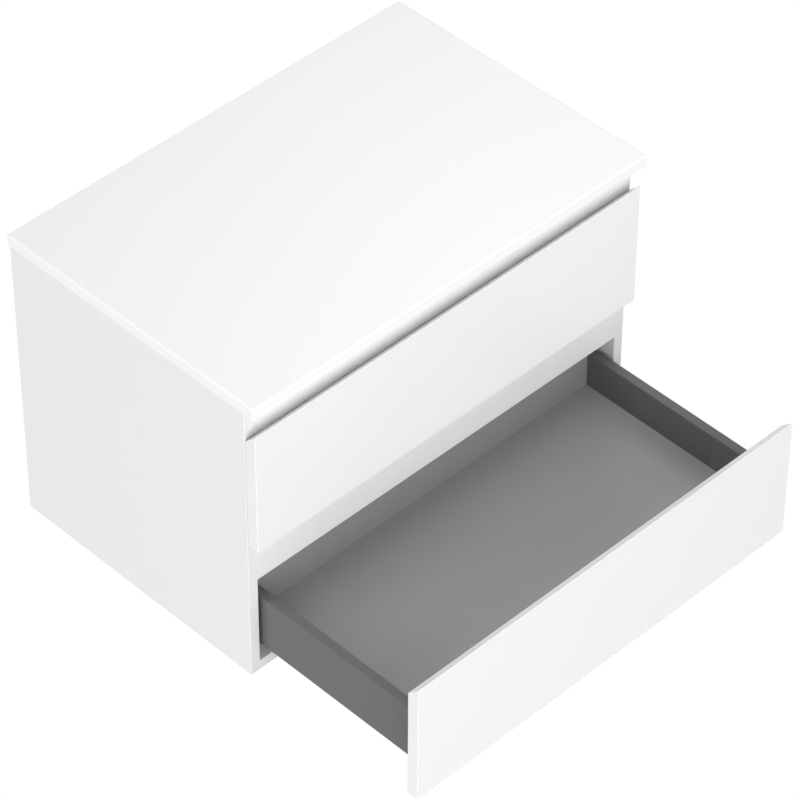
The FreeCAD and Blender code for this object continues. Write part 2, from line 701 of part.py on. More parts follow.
def make_front(level, drawer):
    """A drawer front whose top edge slopes down behind its face as a finger grip."""
    body = new_body(f"{level}_front")
    face = -dim.front_thickness
    profile = [
        (as_size(0), as_size(0)),
        (as_size(0), front_height - dim.front_bevel_drop),
        (face, front_height),
        (face, as_size(0)),
    ]
    extrude(body, "YZ_Plane", -front_half, front_half, profile)
    crest = front_height.value
    below_crest = lambda box: runs_along(box, "Z") or box.ZMax < crest - TOUCHING
    round_edges(body, dim.front_edge_radius, below_crest)
    at_crest = lambda box: runs_along(box, "X") and abs(box.ZMax - crest) < TOUCHING
    round_edges(body, dim.front_crest_radius, at_crest)
    centres = [(hand * bracket_middle, z) for hand in (LEFT, RIGHT) for z in front_screw_heights]
    bore(body, "XZ_Plane", as_size(0), centres, screw_bore, pilot_depth, False)
    place(body, *drawer)


def make_drawer_side(hand, level, side, drawer):
    """A double steel wall folded from one sheet, with a flange that carries the base."""
    body = new_body(f"{level}_{side}_drawer_side")
    steel = dim.drawer_sheet
    foot = dim.drawer_side_lift
    flange_edge = side_inner - dim.base_flange_width
    outline = [
        (side_outer - dim.drawer_lip, foot),
        (side_outer, foot),
        (side_outer, side_top),
        (side_inner, side_top),
        (side_inner, base_bottom),
        (flange_edge, base_bottom),
        (flange_edge, base_bottom - steel),
        (side_inner + steel, base_bottom - steel),
        (side_inner + steel, side_top - steel),
        (side_outer - steel, side_top - steel),
        (side_outer - steel, foot + steel),
        (side_outer - dim.drawer_lip, foot + steel),
    ]
    extrude(body, "XZ_Plane", as_size(0), side_length, [(hand * x, z) for x, z in outline])
    top = side_top.value
    at_top = lambda box: runs_along(box, "Y") and abs(box.ZMin - top) < TOUCHING
    round_edges(body, dim.drawer_fold_radius, at_top)
    rim = dim.cap_rim - dim.cap_clearance
    window = rectangle(dim.cap_setback + rim, cap_bottom + rim, cap_rear - rim, cap_top - rim)
    cut_window(body, "YZ_Plane", hand * side_inner, window, steel * 2, hand == RIGHT)
    centres = [(hand * base_screw_across, y) for y in base_screw_places]
    bore(body, "XY_Plane", base_bottom, centres, screw_bore, steel, False)
    place(body, *drawer)


def make_cover_cap(hand, level, side, drawer):
    """The bare cap over the front bracket's adjusting screws: a plate and a plug in the window."""
    body = new_body(f"{level}_{side}_cover_cap")
    start, end = sided(hand, side_inner - dim.cap_thickness, side_inner)
    extrude(body, "YZ_Plane", start, end, rectangle(dim.cap_setback, cap_bottom, cap_rear, cap_top))
    round_edges(body, dim.cap_corner_radius, lambda box: runs_along(box, "X"))
    face = hand * (side_inner - dim.cap_thickness).value
    at_face = lambda box: abs(box.XMin - face) < TOUCHING and abs(box.XMax - face) < TOUCHING
    round_edges(body, dim.cap_edge_radius, at_face)
    rim = dim.cap_rim
    plug = rectangle(dim.cap_setback + rim, cap_bottom + rim, cap_rear - rim, cap_top - rim)
    plug_start, plug_end = sided(hand, side_inner, side_inner + dim.drawer_sheet)
    extrude(body, "YZ_Plane", plug_start, plug_end, plug)
    place(body, *drawer)


def make_front_bracket(hand, level, side, drawer):
    """The bracket inside the double wall that carries the front."""
    body = new_body(f"{level}_{side}_front_bracket")
    steel = dim.bracket_sheet
    outline = [
        (bracket_inner, as_size(0)),
        (bracket_outer, as_size(0)),
        (bracket_outer, steel),
        (bracket_inner + steel, steel),
        (bracket_inner + steel, dim.front_bracket_arm),
        (bracket_inner, dim.front_bracket_arm),
    ]
    extrude(body, "XY_Plane", cap_bottom, cap_top, [(hand * x, y) for x, y in outline])
    centres = [(hand * bracket_middle, z) for z in front_screw_heights]
    bore(body, "XZ_Plane", as_size(0), centres, screw_bore, steel, True)
    place(body, *drawer)


def make_back_bracket(hand, level, side, drawer):
    """The angle that ties the back board to the rear end of a drawer side."""
    body = new_body(f"{level}_{side}_back_bracket")
    steel = dim.bracket_sheet
    edge = side_inner - dim.back_bracket_width
    outline = [
        (edge, back_rear),
        (side_inner, back_rear),
        (side_inner, side_length),
        (side_inner - steel, side_length),
        (side_inner - steel, back_rear + steel),
        (edge, back_rear + steel),
    ]
    extrude(body, "XY_Plane", back_bracket_low, back_bracket_high, [(hand * x, y) for x, y in outline])
    centres = [(hand * back_screw_across, z) for z in back_screw_heights]
    bore(body, "XZ_Plane", back_rear, centres, screw_bore, steel, True)
    place(body, *drawer)


def make_drawer_rail(hand, level, side, drawer):
    """The runner rail under the base: a channel turned upside down over the middle rail."""
    body = new_body(f"{level}_{side}_drawer_rail")
    steel = dim.runner_sheet
    lip_low = drawer_lip_top - steel
    outline = [
        (channel_inner, drawer_rail_top),
        (channel_outer, drawer_rail_top),
        (channel_outer, lip_low),
        (channel_outer - lip_reach, lip_low),
        (channel_outer - lip_reach, drawer_lip_top),
        (channel_outer - steel, drawer_lip_top),
        (channel_outer - steel, drawer_rail_roof),
        (channel_inner + steel, drawer_rail_roof),
        (channel_inner + steel, drawer_lip_top),
        (channel_inner + lip_reach, drawer_lip_top),
        (channel_inner + lip_reach, lip_low),
        (channel_inner, lip_low),
    ]
    rail_rear = side_length - dim.drawer_rail_rear_gap
    extrude(body, "XZ_Plane", dim.drawer_rail_setback, rail_rear, [(hand * x, z) for x, z in outline])
    place(body, *drawer)


def make_drawer_boards(level, drawer):
    base = new_body(f"{level}_drawer_base")
    extrude(base, "XY_Plane", base_bottom, base_top, rectangle(-board_half, 0, board_half, back_rear))
    centres = [(hand * base_screw_across, y) for hand in (LEFT, RIGHT) for y in base_screw_places]
    bore(base, "XY_Plane", base_bottom, centres, screw_bore, pilot_depth, True)
    place(base, *drawer)
    back = new_body(f"{level}_drawer_back")
    outline = rectangle(-board_half, base_top, board_half, side_top)
    extrude(back, "XZ_Plane", back_front, back_rear, outline)
    centres = [(hand * back_screw_across, z) for hand in (LEFT, RIGHT) for z in back_screw_heights]
    bore(back, "XZ_Plane", back_rear, centres, screw_bore, pilot_depth, False)
    place(back, *drawer)


def make_drawer_screws(level, drawer):
    solids = []
    for hand in (LEFT, RIGHT):
        for z in front_screw_heights:
            solids.append(screw("front_screw", hand * bracket_middle, dim.bracket_sheet, z, ALONG_MINUS_Y))
        for z in back_screw_heights:
            seat = back_rear + dim.bracket_sheet
            solids.append(screw("back_screw", hand * back_screw_across, seat, z, ALONG_MINUS_Y))
        for y in base_screw_places:
            seat = base_bottom - dim.drawer_sheet
            solids.append(screw("base_screw", hand * base_screw_across, y, seat, ALONG_Z))
    place(group(f"{level}_drawer_screws", solids), *drawer)


def make_drawer(level, lift, extension):
    """One drawer with its runners; lift is the height of its front's lower edge."""
    drawer = (as_size(0), closed_front - extension, lift)
    make_front(level, drawer)
    make_drawer_boards(level, drawer)
    runner_screws = []
    for hand, side in ((LEFT, "left"), (RIGHT, "right")):
        make_drawer_side(hand, level, side, drawer)
        make_cover_cap(hand, level, side, drawer)
        make_front_bracket(hand, level, side, drawer)
        make_back_bracket(hand, level, side, drawer)
        make_drawer_rail(hand, level, side, drawer)
        make_middle_rail(hand, level, side, lift, extension)
        runner_screws += make_cabinet_rail(hand, level, side, lift)
    make_drawer_screws(level, drawer)
    outer_height = channel_floor + roller_space / 2
    inner_height = beam_top + roller_space / 2
    outer_place = runner_front + dim.outer_cage_place - extension * OUTER_CAGE_SHARE
    inner_place = runner_front + dim.inner_cage_place - extension * INNER_CAGE_SHARE
    make_roller_cages(f"{level}_outer_roller_cages", lift, outer_height, outer_place)
    make_roller_cages(f"{level}_inner_roller_cages", lift, inner_height, inner_place)
    return runner_screws


def check_and_export():
    """Stop on any failed object, then write one file for each sub-part."""
    document.recompute()
    failed = [item.Name for item in document.Objects if "Invalid" in item.State or "Error" in item.State]
    failed += [item.Label for item in nodes if item.Shape.isNull() or not item.Shape.isValid()]
    if failed:
        raise RuntimeError("these objects failed: " + ", ".join(failed))
    os.makedirs("parts", exist_ok=True)
    for item in nodes:
        item.Shape.exportStep(os.path.join("parts", item.Label + ".step"))
    print(len(nodes), "sub-parts written")


make_carcass()
make_worktop_angles()
group("hanger_screws", make_hanger(LEFT, "left") + make_hanger(RIGHT, "right"))
screws_of_runners = make_drawer("upper", upper_lift, as_size(0))
screws_of_runners += make_drawer("lower", lower_lift, dim.drawer_extension)
group("runner_screws", screws_of_runners)
check_and_export()
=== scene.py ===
import json
import math

import bmesh
import bpy
from mathutils import Matrix, Vector


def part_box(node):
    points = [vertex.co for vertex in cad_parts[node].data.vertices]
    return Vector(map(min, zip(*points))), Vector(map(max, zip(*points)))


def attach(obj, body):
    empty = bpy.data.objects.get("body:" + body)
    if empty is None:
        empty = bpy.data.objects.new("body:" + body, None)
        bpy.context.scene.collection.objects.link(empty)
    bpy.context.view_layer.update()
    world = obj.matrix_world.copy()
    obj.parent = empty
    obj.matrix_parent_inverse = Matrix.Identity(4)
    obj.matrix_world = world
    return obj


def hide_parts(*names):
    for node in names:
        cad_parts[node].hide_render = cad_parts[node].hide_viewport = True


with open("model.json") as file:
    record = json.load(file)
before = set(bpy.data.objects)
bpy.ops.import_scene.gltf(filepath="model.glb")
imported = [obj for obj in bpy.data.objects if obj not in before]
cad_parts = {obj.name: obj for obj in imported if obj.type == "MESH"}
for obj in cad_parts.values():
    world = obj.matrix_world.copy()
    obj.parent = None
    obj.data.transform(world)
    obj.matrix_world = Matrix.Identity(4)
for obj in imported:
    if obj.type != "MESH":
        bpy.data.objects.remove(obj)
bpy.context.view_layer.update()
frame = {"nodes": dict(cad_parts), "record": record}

MM = 0.001

# The photograph's camera, as fitted to the corners of the cabinet: metres, degrees, and lens and
# sensor in millimetres
CAMERA_PLACE = (-3.30651, -3.76856, 4.61235)
CAMERA_AZIMUTH = -44.6065
CAMERA_ELEVATION = 42.8565
CAMERA_ROLL = 0.2331
CAMERA_LENS = 189.90
CAMERA_SENSOR = 36.0
CAMERA_REACH = 200.0

# The studio: a white world, of which a part lights the cabinet, and a floor well below, with its glow
# and the share of that glow in what the camera and reflections see
WHITE = (1, 1, 1, 1)
WORLD_LIGHT = 0.45
FLOOR_LEVEL = -1.3
FLOOR_REACH = 40.0
FLOOR_COLOUR = (0.4, 0.4, 0.4, 1)
FLOOR_GLOW = 1.07
FLOOR_GLOW_SHARE = 0.92

# Softboxes: name, place, aim and diameter in metres, power in watts
SOFTBOXES = (
    ("front_softbox", (-1.6, -5.4, 1.6), (0.0, -0.4, 0.3), 5.4, 221.0),
    ("left_low_softbox", (-3.4, -0.8, -0.4), (0.0, -0.3, 0.3), 1.4, 25.0),
    ("left_rear_softbox", (-3.6, 1.0, 1.4), (0.0, -0.3, 0.3), 1.6, 30.5),
    ("overhead_softbox", (0.0, -0.9, 2.4), (0.0, -0.6, 0.1), 1.0, 11.0),
    ("rear_softbox", (1.6, 0.6, 2.4), (0.2, -0.3, 0.5), 1.2, 7.9),
)

# Screws, in metres: the panel screws have the sizes of the CAD ones, with the thread and the cross
# recess that those leave out
PANEL_SCREW = {
    "Head Diameter": 0.007,
    "Head Height": 0.0018,
    "Shank Diameter": 0.0035,
    "Length": 0.014,
}
ADJUSTER = {
    "Head Diameter": 0.0085,
    "Head Height": 0.0022,
    "Shank Diameter": 0.005,
    "Length": 0.018,
}
THREAD_PITCH = 0.0014
RECESS_DEPTH = 0.0011

# Recess: its arms, half an arm's width as a share of the head's diameter, its reach as a share of the
# head's radius, and the share of its depth that it would lose by the rim
RECESS_ARMS = 4
RECESS_HALF_ARM = 0.075
RECESS_REACH = 0.58
RECESS_SLOPE = 0.9

# Thread, as shares of the shank's diameter: core radius and rise over a whole pitch; then the share of
# a pitch from root to crest
THREAD_CORE = 0.36
THREAD_RISE = 0.28
THREAD_FLANK = 0.5

# Outlines of head and shank, as shares: along the outline, then of the radius or the height there
HEAD_REACH = ((0.0, 0.0), (0.55, 0.62), (0.72, 0.88), (0.84, 1.0), (0.92, 1.0), (1.0, 0.0))
HEAD_RISE = ((0.0, 1.0), (0.55, 0.9), (0.72, 0.68), (0.84, 0.3), (0.92, 0.0), (1.0, 0.0))
SHANK_TAPER = ((0.0, 0.0), (0.03, 1.0), (0.8, 1.0), (1.0, 0.05))

# Grids that are wrapped into screws: sides of a turn, points along the two outlines and the grid's own
# side; then the seed of the angles at which the recesses stop
SCREW_SIDES = 32
HEAD_RINGS = 14
SHANK_RINGS = 44
GRID_SIDE = 1.0
SPIN_SEED = 7

# Hanger adjusters rest on the housing behind its screw tab; their heights are shares of the housing's
HANGER_TAB = 0.016
ADJUSTER_SHARES = (0.36, 0.74)

# Drawer catch under the base, in millimetres: across from the flange's edge, back from the front, up
# from the base's underside; a block is its low corner, high corner and edge radius
CATCH_BLOCKS = (
    ((-44, 8, -3), (-1, 62, 0), 1.0),
    ((-36, 14, -13), (-4, 54, -2.5), 2.0),
    ((-8, 24, -11), (13.6, 38, -4), 1.2),
)
CATCH_RIB = ((-34, 19, -13.9), (-6, 21.5, -12.5), 0.5)
CATCH_RIBS = 5
CATCH_RIB_STEP = 7
CATCH_SCREWS = ((-40, 14, -3), (-40, 56, -3))

# Finger loop of the catch, in millimetres: centre, half width and half length of its middle line, and
# the radius of its section
CATCH_LOOP = ((-43, 34, -8), 15, 12, 2.4)

# Closing damper beside the cabinet rail, in millimetres: across from the rail's inner wall, forward
# from its rear end, up from its foot; the barrel is turned from distances along it and radii
DAMPER_BLOCKS = (
    ((-14, -150, 1), (0, -12, 10.5), 1.5),
    ((-13, -130, 1.5), (-1, -122, 16.8), 1.4),
    ((-13, -62, 1.5), (-1, -54, 16.8), 1.4),
    ((-11.5, -24, 9), (-2.5, -14, 14), 1.4),
)
DAMPER_AXIS = (-7, 0, 11)
DAMPER_BARREL = (
    (-176, 2.2), (-175, 3.2), (-171, 3.2), (-170, 1.6), (-143, 1.6), (-142, 3.6),
    (-140.5, 4.5), (-134, 4.5), (-133.5, 4.2), (-132.5, 4.2), (-132, 4.5), (-42, 4.5), (-40.5, 3.6),
)

# Fineness of the meshes
WELD = 1e-5
SMOOTH_ANGLE = math.radians(38)
ROUNDING_STEPS = 3
ROUND_PROFILE = 0.5
ROD_SIDES = 28
LOOP_STEPS = 40
LOOP_SIDES = 12

# Sockets that share their names with others: of Mix for colours, and of Random Value for numbers
MIX_SHARE, MIX_LOW, MIX_HIGH, MIX_RESULT = 0, 6, 7, 2
RANDOM_LEAST, RANDOM_MOST, RANDOM_NUMBER = 2, 3, 1


class Field:
    """A socket of a node tree; sums and products written on it add Math nodes."""

    def __init__(self, tree, socket):
        self.tree = tree
        self.socket = socket

    def make(self, kind, settings=None, inputs=None, output=0):
        """Add a node with these settings and socket values or links, and return one of its outputs."""
        node = self.tree.nodes.new(kind if "Node" in kind else "ShaderNode" + kind)
        for name, value in (settings or {}).items():
            if name == "curve":
                set_curve(node.mapping, value)
            else:
                setattr(node, name, value)
        for key, value in (inputs or {}).items():
            for source in value if isinstance(value, list) else [value]:
                if isinstance(source, Field):
                    self.tree.links.new(source.socket, node.inputs[key])
                else:
                    node.inputs[key].default_value = source
        return Field(self.tree, node.outputs[output] if node.outputs else None)

    def math(self, operation, *values):
        """Add a Math node on these values."""
        return self.make("Math", {"operation": operation}, dict(enumerate(values)))

    def __add__(self, other):
        return self.math("ADD", self, other)

    def __sub__(self, other):
        return self.math("SUBTRACT", self, other)

    def __rsub__(self, other):
        return self.math("SUBTRACT", other, self)

    def __mul__(self, other):
        return self.math("MULTIPLY", self, other)

    def __truediv__(self, other):
        return self.math("DIVIDE", self, other)

    __radd__ = __add__
    __rmul__ = __mul__


def set_curve(mapping, points):
    """Give a curve node these points."""
    curve = mapping.curves[0]
    while len(curve.points) < len(points):
        curve.points.new(0.5, 0.5)
    for point, place in zip(curve.points, points):
        point.location = place
    mapping.update()


def add_object(name, data):
    """Put a new object with this mesh, lamp or camera in the scene."""
    thing = bpy.data.objects.new(name, data)
    bpy.context.scene.collection.objects.link(thing)
    return thing


# Finishes


def grey(tone):
    """A neutral colour."""
    return (tone, tone, tone)


def rgba(colour, gain):
    """A colour made lighter or darker, as a socket takes it."""
    return tuple(min(channel * gain, 1.0) for channel in colour) + (1.0,)


def new_finish(name):
    """An empty material and its Object coordinates."""
    material = bpy.data.materials.new(name)
    material.use_nodes = True
    tree = material.node_tree
    tree.nodes.clear()
    start = Field(tree, None)
    return material, start.make("TexCoord", output="Object")


def noise(place, features, detail=2.0, grit=0.5):
    """Smooth noise from 0 to 1, with so many features per metre, or so many along each axis."""
    if isinstance(features, tuple):
        place = place.make("Mapping", {}, {"Vector": place, "Scale": features})
        features = 1.0
    inputs = {"Vector": place, "Scale": features, "Detail": detail, "Roughness": grit}
    return place.make("TexNoise", {}, inputs, "Fac")


def tint(colour, main, fine, main_share, darkest, lightest):
    """The colour between two gains, as a main and a fine pattern say together."""
    share = main * main_share + fine * (1.0 - main_share)
    inputs = {MIX_SHARE: share, MIX_LOW: rgba(colour, darkest), MIX_HIGH: rgba(colour, lightest)}
    return share.make("Mix", {"data_type": "RGBA"}, inputs, MIX_RESULT)


def roughen(roughness, pattern, spread):
    """A roughness that rises with a pattern, by up to its spread."""
    return roughness + pattern * spread


def close_finish(material, place, colour, roughness, height, depth, plain=None):
    """Join colour, roughness and relief in one shader; plain values go on its own sockets."""
    bump = {"Height": height, "Distance": depth, "Strength": 1.0}
    relief = place.make("Bump", {}, bump)
    inputs = {"Base Color": colour, "Roughness": roughness, "Normal": relief, **(plain or {})}
    shader = place.make("BsdfPrincipled", {}, inputs)
    place.make("OutputMaterial", {"is_active_output": True}, {"Surface": shader})
    return material


def white_lacquer(name, colour, roughness, peel_features):
    """Matt white paint: slow tone drift, fine speckle and the peel of a sprayed coat."""
    material, place = new_finish(name)
    drift = noise(place, features=5.0, detail=3.0)
    speckle = noise(place, features=1400.0)
    peel = noise(place, features=peel_features)
    tone = tint(colour, drift, speckle, main_share=0.7, darkest=0.988, lightest=1.008)
    dull = roughen(roughen(roughness, drift, spread=0.05), speckle, spread=0.04)
    return close_finish(material, place, tone, dull, peel, depth=0.02 * MM)


def coated_board(name, colour, roughness):
    """Melamine coated board: pearl embossing and a faint print."""
    material, place = new_finish(name)
    drift = noise(place, features=7.0, detail=3.0)
    pearl = noise(place, features=1100.0, detail=3.0, grit=0.6)
    tone = tint(colour, drift, pearl, main_share=0.5, darkest=0.97, lightest=1.03)
    dull = roughen(roughness, pearl, spread=0.12)
    return close_finish(material, place, tone, dull, pearl, depth=0.04 * MM)


def powder_coat(name, colour, roughness):
    """Powder coated steel: fine grainy skin with a dull sheen."""
    material, place = new_finish(name)
    drift = noise(place, features=9.0)
    grain = noise(place, features=2600.0, grit=0.7)
    tone = tint(colour, drift, grain, main_share=0.4, darkest=0.94, lightest=1.06)
    dull = roughen(roughness, grain, spread=0.14)
    plain = {"Specular IOR Level": 0.2}
    return close_finish(material, place, tone, dull, grain, depth=0.03 * MM, plain=plain)


def zinc_plate(name, colour, roughness):
    """Bright zinc on rolled steel: streaks along the rail and soft spangle."""
    material, place = new_finish(name)
    streak = noise(place, features=(900, 18, 900), detail=3.0, grit=0.6)
    spangle = place.make("TexVoronoi", {}, {"Vector": place, "Scale": 160.0}, "Distance")
    tone = tint(colour, streak, spangle, main_share=0.6, darkest=0.86, lightest=1.08)
    dull = roughen(roughness, streak, spread=0.16)
    plain = {"Metallic": 1.0}
    return close_finish(material, place, tone, dull, streak, depth=0.01 * MM, plain=plain)


def moulded_plastic(name, colour, roughness):
    """Moulded plastic: sparked tool texture and faint flow marks."""
    material, place = new_finish(name)
    flow = noise(place, features=30.0)
    spark = noise(place, features=1900.0, detail=3.0, grit=0.7)
    tone = tint(colour, flow, spark, main_share=0.6, darkest=0.95, lightest=1.05)
    dull = roughen(roughness, spark, spread=0.15)
    return close_finish(material, place, tone, dull, spark, depth=0.03 * MM)


def turned_beech(name, colour, roughness):
    """Beech dowel: pale and dark grain with short flecks along its length."""
    material, place = new_finish(name)
    grain = noise(place, features=(60, 700, 700), detail=4.0, grit=0.6)
    fleck = noise(place, features=(400, 2400, 2400), detail=1.0)
    tone = tint(colour, grain, fleck, main_share=0.8, darkest=0.78, lightest=1.15)
    dull = roughen(roughness, grain, spread=0.2)
    return close_finish(material, place, tone, dull, grain, depth=0.08 * MM)


def make_finishes():
    """One material for each slot of the record."""
    steel_grey = (0.139, 0.139, 0.1465)
    cap_grey = (0.130, 0.130, 0.137)
    nylon = (0.70, 0.69, 0.65)
    pale_grey = (0.70, 0.70, 0.69)
    beech = (0.60, 0.42, 0.26)
    zinc = (0.66, 0.67, 0.68)
    return {
        "white_worktop": white_lacquer("worktop_lacquer", grey(0.925), 0.40, peel_features=420.0),
        "white_front": white_lacquer("front_lacquer", grey(0.857), 0.42, peel_features=420.0),
        "white_board": white_lacquer("carcass_white", grey(0.829), 0.46, peel_features=800.0),
        "drawer_steel": powder_coat("drawer_powder_coat", steel_grey, 0.46),
        "drawer_board": coated_board("drawer_board_grey", grey(0.309), 0.5),
        "cap_plastic": moulded_plastic("cap_anthracite", cap_grey, 0.42),
        "cage_plastic": moulded_plastic("cage_nylon", nylon, 0.38),
        "hanger_plastic": moulded_plastic("hanger_grey", pale_grey, 0.45),
        "beech_dowel": turned_beech("dowel_beech", beech, 0.55),
        "zinc_steel": zinc_plate("zinc_plated_steel", zinc, 0.26),
    }


def dress_nodes(finishes):
    """Give every CAD node the finish of its slot."""
    for subpart in frame["record"]["subparts"]:
        node = frame["nodes"][subpart["node"]]
        node.data.materials.clear()
        node.data.materials.append(finishes[subpart["material_slot"]])


# Screws


def separate_shells(node):
    """The corner points of each separate solid of a CAD node."""
    copy = bmesh.new()
    copy.from_mesh(frame["nodes"][node].data)
    bmesh.ops.remove_doubles(copy, verts=copy.verts, dist=WELD)
    seen = set()
    shells = []
    for start in copy.verts:
        if start in seen:
            continue
        shell = [start]
        seen.add(start)
        for vertex in shell:
            for edge in vertex.link_edges:
                other = edge.other_vert(vertex)
                if other not in seen:
                    seen.add(other)
                    shell.append(other)
        shells.append([vertex.co.copy() for vertex in shell])
    copy.free()
    return shells


def axis_vector(axis):
    """A step of one along an axis, by its number."""
    return Vector(1.0 if index == axis else 0.0 for index in range(3))


def screw_seats(*nodes):
    """Where each CAD screw's head rests, and which way its shank points."""
    seats = []
    for node in nodes:
        for corners in separate_shells(node):
            low = Vector(min(corner[axis] for corner in corners) for axis in range(3))
            high = Vector(max(corner[axis] for corner in corners) for axis in range(3))
            long_axis = max(range(3), key=lambda axis: high[axis] - low[axis])
            along = axis_vector(long_axis)
            centre = (low + high) / 2
            widest = max(corners, key=lambda corner: (corner - centre).cross(along).length)
            sign = 1 if widest[long_axis] < centre[long_axis] else -1
            seat = centre.copy()
            seat[long_axis] = widest[long_axis]
            seats.append((seat, along * sign))
    return seats


def screw_inputs(tree):
    """The screw tree's named inputs, as fields by name."""
    tree.interface.new_socket("Geometry", in_out="INPUT", socket_type="NodeSocketGeometry")
    for name, value in PANEL_SCREW.items():
        socket = tree.interface.new_socket(name, in_out="INPUT", socket_type="NodeSocketFloat")
        socket.default_value = value
    tree.interface.new_socket("Finish", in_out="INPUT", socket_type="NodeSocketMaterial")
    tree.interface.new_socket("Geometry", in_out="OUTPUT", socket_type="NodeSocketGeometry")
    entry = tree.nodes.new("NodeGroupInput")
    return {socket.name: Field(tree, socket) for socket in entry.outputs if socket.name}


def lathe(start, rings, radius, height, angle):
    """Wrap a grid round the Z axis: radius and height are fields over its angle and its rings."""
    sizes = {
        "Size X": GRID_SIDE,
        "Size Y": GRID_SIDE,
        "Vertices X": SCREW_SIDES + 1,
        "Vertices Y": rings,
    }
    grid = start.make("GeometryNodeMeshGrid", {}, sizes)
    turn = angle * math.tau
    place = {
        "X": radius * start.math("COSINE", turn),
        "Y": radius * start.math("SINE", turn),
        "Z": height,
    }
    spot = start.make("CombineXYZ", {}, place)
    wrapped = start.make("GeometryNodeSetPosition", {}, {"Geometry": grid, "Position": spot})
    return start.make("GeometryNodeMergeByDistance", {}, {"Geometry": wrapped, "Distance": WELD})


def head_shape(start, given, angle, along):
    """Radius and height over a domed head with a cross recess, from its crown round to its seat."""
    reach = start.make("FloatCurve", {"curve": HEAD_REACH}, {"Value": along})
    rise = start.make("FloatCurve", {"curve": HEAD_RISE}, {"Value": along})
    radius = reach * given["Head Diameter"] / 2
    off_arm_turn = start.math("PINGPONG", angle, 1 / (2 * RECESS_ARMS))
    off_arm = radius * start.math("SINE", off_arm_turn * math.tau)
    arm = start.math("LESS_THAN", off_arm, given["Head Diameter"] * RECESS_HALF_ARM)
    within = start.math("LESS_THAN", reach, RECESS_REACH)
    recess = arm * within * (1.0 - reach * RECESS_SLOPE) * RECESS_DEPTH
    return radius, recess - rise * given["Head Height"]


def shank_shape(start, given, angle, along):
    """Radius and height over a pointed shank with one turning thread."""
    height = along * given["Length"]
    winding = start.math("FRACT", height / THREAD_PITCH + angle)
    ridge = start.math("PINGPONG", winding, THREAD_FLANK)
    taper = start.make("FloatCurve", {"curve": SHANK_TAPER}, {"Value": along})
    radius = taper * given["Shank Diameter"] * (THREAD_CORE + ridge * THREAD_RISE)
    return radius, height


def one_screw(start, given):
    """Head and shank, each wrapped from a grid: X gives the share of a turn, Y that of the outline."""
    place = start.make("GeometryNodeInputPosition")
    angle = start.make("SeparateXYZ", {}, {0: place}, "X") + GRID_SIDE / 2
    along = start.make("SeparateXYZ", {}, {0: place}, "Y") + GRID_SIDE / 2
    head = lathe(start, HEAD_RINGS, *head_shape(start, given, angle, along), angle)
    shank = lathe(start, SHANK_RINGS, *shank_shape(start, given, angle, along), angle)
    return start.make("GeometryNodeJoinGeometry", {}, {0: [head, shank]})


def screw_turn(start):
    """A rotation that points a screw inward and leaves its recess at a chance angle."""
    heading = {"data_type": "FLOAT_VECTOR"}
    inward = start.make("GeometryNodeInputNamedAttribute", heading, {"Name": "inward"})
    aligned = start.make("FunctionNodeAlignRotationToVector", {"axis": "Z"}, {"Vector": inward})
    limits = {RANDOM_LEAST: 0.0, RANDOM_MOST: math.tau, "Seed": SPIN_SEED}
    chance = start.make("FunctionNodeRandomValue", {"data_type": "FLOAT"}, limits, RANDOM_NUMBER)
    about = start.make("CombineXYZ", {}, {"Z": chance})
    spin = start.make("FunctionNodeEulerToRotation", {}, {0: about})
    rotation = {"Rotation": aligned, "Rotate By": spin}
    return start.make("FunctionNodeRotateRotation", {"rotation_space": "LOCAL"}, rotation)


def screw_tree():
    """A node tree that sets a cross recessed, threaded screw on every seat point."""
    tree = bpy.data.node_groups.new("panel_screws", "GeometryNodeTree")
    given = screw_inputs(tree)
    start = Field(tree, None)
    points = start.make("GeometryNodeMeshToPoints", {}, {0: given["Geometry"]})
    laid = {"Points": points, "Instance": one_screw(start, given), "Rotation": screw_turn(start)}
    screws = start.make("GeometryNodeInstanceOnPoints", {}, laid)
    real = start.make("GeometryNodeRealizeInstances", {}, {0: screws})
    dressed = start.make("GeometryNodeSetMaterial", {}, {0: real, "Material": given["Finish"]})
    start.make("NodeGroupOutput", {}, {0: dressed})
    return tree


def close_piece(name, body, mesh, finish):
    """Turn the faces outward, smooth the round ones and let the piece ride on its body."""
    shape = bmesh.new()
    shape.from_mesh(mesh)
    bmesh.ops.recalc_face_normals(shape, faces=shape.faces)
    for edge in shape.edges:
        edge.smooth = edge.calc_face_angle(0.0) < SMOOTH_ANGLE
    for face in shape.faces:
        face.smooth = True
    shape.to_mesh(mesh)
    shape.free()
    mesh.name = name
    mesh.materials.clear()
    mesh.materials.append(finish)
    piece = add_object(name, mesh)
    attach(piece, body)
    return piece


def set_screws(name, body, tree, sizes, finish, seats):
    """Run the screw tree on these seats and keep the result as one plain mesh."""
    mesh = bpy.data.meshes.new(name + "_seats")
    mesh.from_pydata([seat for seat, inward in seats], [], [])
    heading = mesh.attributes.new("inward", "FLOAT_VECTOR", "POINT")
    for index, (seat, inward) in enumerate(seats):
        heading.data[index].vector = inward
    source = add_object(name + "_source", mesh)
    modifier = source.modifiers.new("screws", "NODES")
    modifier.node_group = tree
    values = {**sizes, "Finish": finish}
    for socket in tree.interface.items_tree:
        if socket.name in values:
            modifier[socket.identifier] = values[socket.name]
    ready = source.evaluated_get(bpy.context.evaluated_depsgraph_get())
    result = bpy.data.meshes.new_from_object(ready)
    bpy.data.objects.remove(source)
    return close_piece(name, body, result, finish)


def adjuster_seats():
    """Two adjusting screws, for depth and height, in the front of each wall hanger."""
    seats = []
    for side in ("left", "right"):
        low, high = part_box(side + "_hanger_housing")
        for share in ADJUSTER_SHARES:
            height = low[2] + (high[2] - low[2]) * share
            middle = (low[0] + high[0]) / 2
            seats.append((Vector((middle, low[1] + HANGER_TAB, height)), Vector((0, 1, 0))))
    return seats


